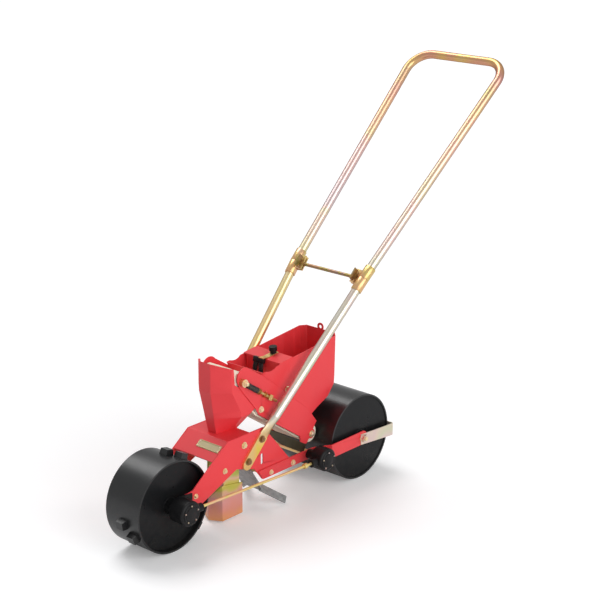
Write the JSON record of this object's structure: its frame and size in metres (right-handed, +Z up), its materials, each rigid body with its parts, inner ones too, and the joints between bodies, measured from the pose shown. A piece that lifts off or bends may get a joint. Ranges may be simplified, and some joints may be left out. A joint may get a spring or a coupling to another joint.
{
  "type": "vegetable seeder",
  "caption": "Walk-behind belt seeder: ground-driven front wheel, seed hopper over a sloping belt, folded chute, furrow opener, coverer, smooth press roller and clamped tube handle.",
  "frame": {"origin": "on the floor, midway between the lug tips in front and the grip behind, on the machine's centre plane", "axes": "+X is the direction of travel, +Y the machine's left, +Z up"},
  "size_m": [1.132, 0.284, 0.903],
  "materials": {
    "red_paint": "gloss enamel",
    "black_plastic": "satin",
    "brass": "satin",
    "belt_rubber": "matt",
    "white_plastic": "satin",
    "galvanised_steel": "galvanised",
    "label_metal": "blank, satin",
    "plated_steel": "yellow passivated zinc"
  },
  "bodies": {
    "frame": {"belt_drive_shaft": "plated_steel", "belt_idler": "white_plastic", "belt_plate_left": "red_paint", "belt_plate_right": "red_paint", "belt_tensioner_left": "brass", "belt_tensioner_right": "brass", "blank_plate": "label_metal", "brush_knob": "black_plastic", "brush_strap": "brass", "coverer": "galvanised_steel", "coverer_cross_rod": "plated_steel", "front_gear_case": "black_plastic", "front_pulley": "white_plastic", "front_web": "red_paint", "handle_clamp_left": "plated_steel", "handle_clamp_right": "plated_steel", "handle_grip": "plated_steel", "handle_leg_left": "plated_steel", "handle_leg_right": "plated_steel", "hopper": "red_paint", "hopper_divider": "red_paint", "opener": "plated_steel", "opener_bracket": "plated_steel", "opener_cross_rod": "plated_steel", "rear_axle": "plated_steel", "rear_bar_left": "red_paint", "rear_bar_right": "red_paint", "rear_gear_case": "black_plastic", "rear_pulley": "white_plastic", "roller_scraper": "plated_steel", "seed_belt": "belt_rubber", "seed_brush": "black_plastic", "seed_chute": "red_paint", "side_plate_left": "red_paint", "side_plate_right": "red_paint", "tie_rod": "plated_steel", "unit_strap": "black_plastic", "wing_bolt_left": "plated_steel", "wing_bolt_right": "plated_steel"},
    "front_wheel": {"front_axle": "plated_steel", "front_wheel": "black_plastic", "wheel_disc_left": "black_plastic", "wheel_disc_right": "black_plastic"},
    "rear_roller": {"rear_roller": "black_plastic", "roller_end_left": "black_plastic", "roller_end_right": "black_plastic"},
    "drive_shaft": {"drive_shaft": "plated_steel"}
  },
  "joints": [
    {"name": "front_wheel_spin", "type": "hinge", "parent": "frame", "child": "front_wheel", "pos_m": [0.454, 0, 0.1], "axis": [0, 1, 0], "continuous": true},
    {"name": "rear_roller_spin", "type": "hinge", "parent": "frame", "child": "rear_roller", "pos_m": [-0.087, 0, 0.0995], "axis": [0, 1, 0], "continuous": true},
    {"name": "drive_shaft_spin", "type": "hinge", "parent": "frame", "child": "drive_shaft", "pos_m": [0.454, 0.085, 0.1], "axis": [-0.9984, 0.0552, -0.01], "continuous": true}
  ],
  "couplings": [
    {"joint": "drive_shaft_spin", "follows": "front_wheel_spin", "ratio": 1}
  ]
}
